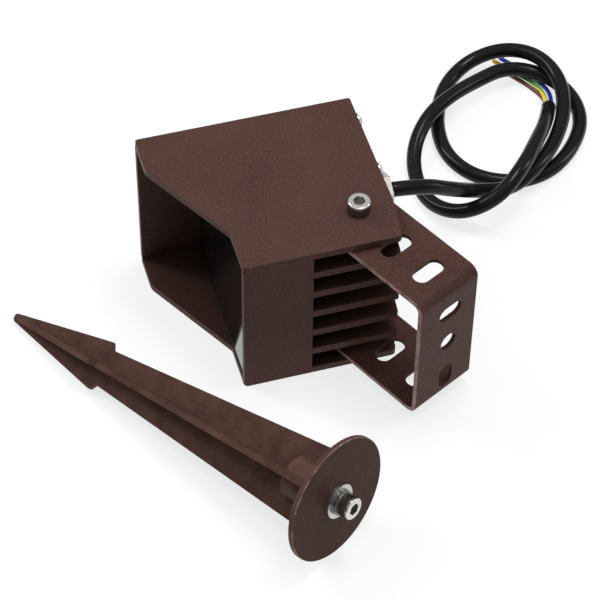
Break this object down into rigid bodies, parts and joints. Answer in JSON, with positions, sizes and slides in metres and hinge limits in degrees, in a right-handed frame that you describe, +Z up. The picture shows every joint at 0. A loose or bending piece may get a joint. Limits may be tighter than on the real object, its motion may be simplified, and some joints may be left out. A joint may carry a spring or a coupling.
{
  "type": "garden projector lamp on a ground stake",
  "caption": "Compact wedge-shaped garden projector lamp with finned back, swivel bracket, flexible cable and a loose cross-bladed ground stake.",
  "frame": {"origin": "on the floor, under the middle of the lamp and its stake (cable left out)", "axes": "+Z up from the floor; the lamp lies on a side plate with its mouth towards -Y and its finned side towards +X"},
  "size_m": [0.2785, 0.2999, 0.0861],
  "materials": {
    "brown_paint": "fine textured semi-matt powder coat",
    "stainless": "bright turned steel",
    "nickel": "nickel-plated brass",
    "rubber": "black silicone",
    "glass": "dark toughened glass",
    "cable_black": "smooth glossy jacket",
    "wire_earth": "yellow with a green stripe",
    "wire_neutral": "blue",
    "wire_live": "brown",
    "board": "white solder mask",
    "led": "yellow phosphor",
    "lens": "clear acrylic",
    "pad": "grey silicone",
    "driver": "black potting case"
  },
  "bodies": {
    "lamp": {"housing": "brown_paint", "rear_cover": "brown_paint", "rear_gasket": "rubber", "cover_screws": "stainless", "gland_body": "nickel", "gland_cap": "nickel", "gland_seal": "rubber", "gland_locknut": "nickel", "cable_tail": "cable_black", "inner_leads": "wire_neutral", "driver_box": "driver", "thermal_pad": "pad", "led_board": "board", "led_chips": "led", "board_screws": "stainless", "lens_plate": "lens", "front_glass": "glass", "glass_gasket": "rubber", "cable_jacket": "cable_black", "wire_earth": "wire_earth", "wire_neutral": "wire_neutral", "wire_live": "wire_live"},
    "bracket": {"bracket": "brown_paint", "pivot_cap_screw": "stainless", "pivot_flush_screw": "stainless", "pivot_nuts": "stainless"},
    "stake": {"stake": "brown_paint"},
    "stake_bolt": {"stake_bolt": "stainless", "spring_washer": "stainless", "flat_washer": "stainless"}
  },
  "joints": [
    {"name": "bracket_turn", "type": "hinge", "parent": "lamp", "child": "bracket", "pos_m": [-0.0299, 0.0543, 0.04], "axis": [0, 0, 1], "range_deg": [-45, 65]},
    {"name": "stake_lift", "type": "slide", "parent": "lamp", "child": "stake", "axis": [0, 0, 1], "range_m": [0, 0.12]},
    {"name": "bolt_out", "type": "slide", "parent": "stake", "child": "stake_bolt", "axis": [0.8219, 0.5521, 0.1403], "range_m": [0, 0.022]}
  ]
}
